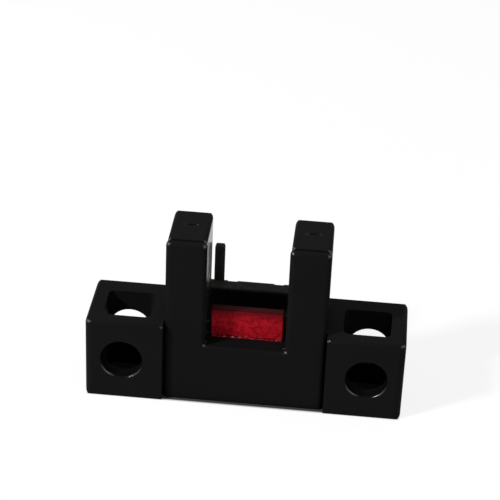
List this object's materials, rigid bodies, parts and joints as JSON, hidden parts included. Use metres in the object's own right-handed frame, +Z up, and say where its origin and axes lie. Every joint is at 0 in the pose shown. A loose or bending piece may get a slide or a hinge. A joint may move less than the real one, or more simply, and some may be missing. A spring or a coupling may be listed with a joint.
{
  "type": "photoelectric fork sensor",
  "caption": "Black U-shaped photoelectric sensor with slotted side flanges, a red indicator window between its arms and a plug socket at the back.",
  "frame": {"origin": "on the base, in the middle of the flanges' width and depth", "axes": "+X across the fork towards the receiver arm, +Y to the back and its plug socket, +Z up along the arms"},
  "size_m": [0.0248, 0.0103, 0.014],
  "materials": {
    "case_plastic": "black moulded polyester, fine satin grain",
    "cover_plastic": "black moulded polyester, smoother on the face",
    "socket_plastic": "black glass-filled polyester, dry surface",
    "red_lens": "red translucent polycarbonate, polished front",
    "window_plastic": "dark infrared-clear polycarbonate, polished",
    "board_laminate": "green solder mask on glass-epoxy laminate",
    "clear_resin": "clear moulded epoxy with a faint blue tint",
    "dark_resin": "dark infrared-clear moulded epoxy",
    "lamp_resin": "milky moulded epoxy",
    "chip_epoxy": "black transfer-moulded epoxy",
    "capacitor_ceramic": "tan fired ceramic",
    "resistor_glaze": "black glazed film on ceramic",
    "tinned_brass": "bright tin plating on brass"
  },
  "bodies": {
    "root": {"housing": "case_plastic", "front_cover": "cover_plastic", "terminal_block": "socket_plastic", "indicator_lens": "red_lens", "emitter_window": "window_plastic", "receiver_window": "window_plastic", "circuit_board": "board_laminate", "infrared_emitter": "clear_resin", "light_receiver": "dark_resin", "indicator_led": "lamp_resin", "amplifier_ic": "chip_epoxy", "light_on_transistor": "chip_epoxy", "dark_on_transistor": "chip_epoxy", "polarity_diode": "chip_epoxy", "bypass_capacitor": "capacitor_ceramic", "chip_resistors": "resistor_glaze", "supply_terminal": "tinned_brass", "light_on_terminal": "tinned_brass", "dark_on_terminal": "tinned_brass", "ground_terminal": "tinned_brass"}
  },
  "joints": []
}
